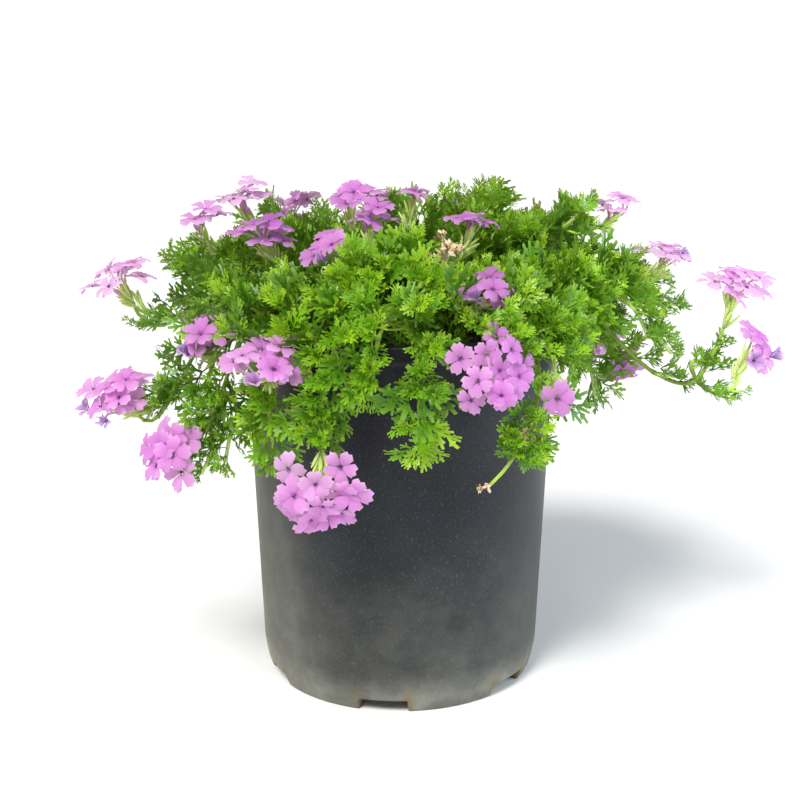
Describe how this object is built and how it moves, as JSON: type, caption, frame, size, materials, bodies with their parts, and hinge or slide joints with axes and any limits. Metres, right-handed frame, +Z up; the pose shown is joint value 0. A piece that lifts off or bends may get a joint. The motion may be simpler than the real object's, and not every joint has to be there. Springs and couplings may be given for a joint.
{
  "type": "potted garden verbena",
  "caption": "Garden verbena in a round black nursery pot: finely cut leafy stems arch over the rim and trail, with heads of pink-purple florets.",
  "frame": {"origin": "on the surface that the pot stands on, under the middle of the whole plant's spread; the pot's axis stands 18 mm to its left and 4 mm behind it", "axes": "+Z up along the pot's axis, +X to the right and +Y away from the viewer as in the reference picture, so the front faces -Y"},
  "size_m": [0.3566, 0.2582, 0.2681],
  "materials": {
    "pot_plastic": "blow-moulded polyethylene, charcoal black, soft sheen, dusty towards the base",
    "potting_mix": "coarse dark brown bark and peat mix, crumbly",
    "foliage": "fresh green leaves and stems, softly hairy, satin",
    "petals": "thin pink-purple petals, velvety matt",
    "withered": "dry tan flower parts, papery"
  },
  "bodies": {
    "root": {"head_back": "petals", "head_back_centre": "petals", "head_back_centre_1": "petals", "head_back_left": "petals", "head_back_right": "petals", "head_back_top": "petals", "head_centre": "petals", "head_centre_1": "petals", "head_centre_2": "petals", "head_centre_right": "petals", "head_front_centre": "petals", "head_front_left": "petals", "head_front_left_upper": "petals", "head_front_right": "petals", "head_front_right_low_1": "petals", "head_left": "petals", "head_left_back": "petals", "head_left_back_1": "petals", "head_left_back_low": "petals", "head_left_front": "petals", "head_left_low": "petals", "head_left_lowest": "petals", "head_left_mound": "petals", "head_right_back": "petals", "head_right_back_low": "petals", "head_right_low": "petals", "head_right_trailing": "petals", "head_right_trailing_1": "petals", "head_right_upper": "petals", "pot": "pot_plastic", "soil": "potting_mix", "spray_back": "foliage", "spray_back_centre": "foliage", "spray_back_left": "foliage", "spray_back_right": "foliage", "spray_back_top": "foliage", "spray_centre": "foliage", "spray_centre_right": "foliage", "spray_front": "foliage", "spray_front_centre": "foliage", "spray_front_left": "foliage", "spray_front_left_upper": "foliage", "spray_front_right": "foliage", "spray_front_right_low": "foliage", "spray_front_top": "foliage", "spray_left": "foliage", "spray_left_back": "foliage", "spray_left_back_low": "foliage", "spray_left_front": "foliage", "spray_left_low": "foliage", "spray_left_lowest": "foliage", "spray_left_mound": "foliage", "spray_mound_right": "foliage", "spray_right_back": "foliage", "spray_right_back_low": "foliage", "spray_right_low": "foliage", "spray_right_trailing": "foliage", "spray_right_upper": "foliage", "withered_centre_right_1": "withered", "withered_front_right_low": "withered"}
  },
  "joints": []
}
